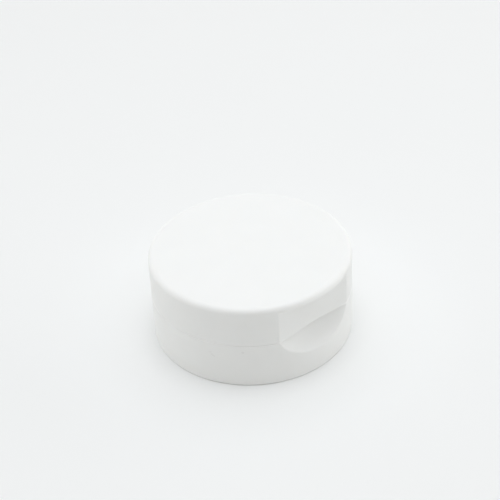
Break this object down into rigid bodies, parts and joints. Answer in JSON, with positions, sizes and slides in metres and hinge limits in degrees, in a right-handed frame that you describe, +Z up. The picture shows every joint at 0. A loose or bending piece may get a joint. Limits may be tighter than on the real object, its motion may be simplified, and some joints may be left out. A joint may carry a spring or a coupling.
{
  "type": "flip top cap",
  "caption": "Round moulded flip-top cap with a hinged lid, a flat thumb recess at the front, an outlet nozzle under the lid and a threaded neck sleeve below.",
  "frame": {"origin": "on the cap's axis, in the plane of the skirt's foot that the cap stands on", "axes": "+Z up along the cap's axis, the thumb recess faces -Y and the living hinge is at +Y"},
  "size_m": [0.05, 0.0508, 0.0227],
  "materials": {
    "white_polypropylene": "satin moulded white polypropylene"
  },
  "bodies": {
    "base": {"base": "white_polypropylene", "living_hinge": "white_polypropylene"},
    "lid": {"lid": "white_polypropylene"}
  },
  "joints": [
    {"name": "lid_hinge", "type": "hinge", "parent": "base", "child": "lid", "pos_m": [0, 0.0255, 0.01222], "axis": [-1, 0, 0], "range_deg": [0, 180], "deforming": ["living_hinge"]}
  ]
}
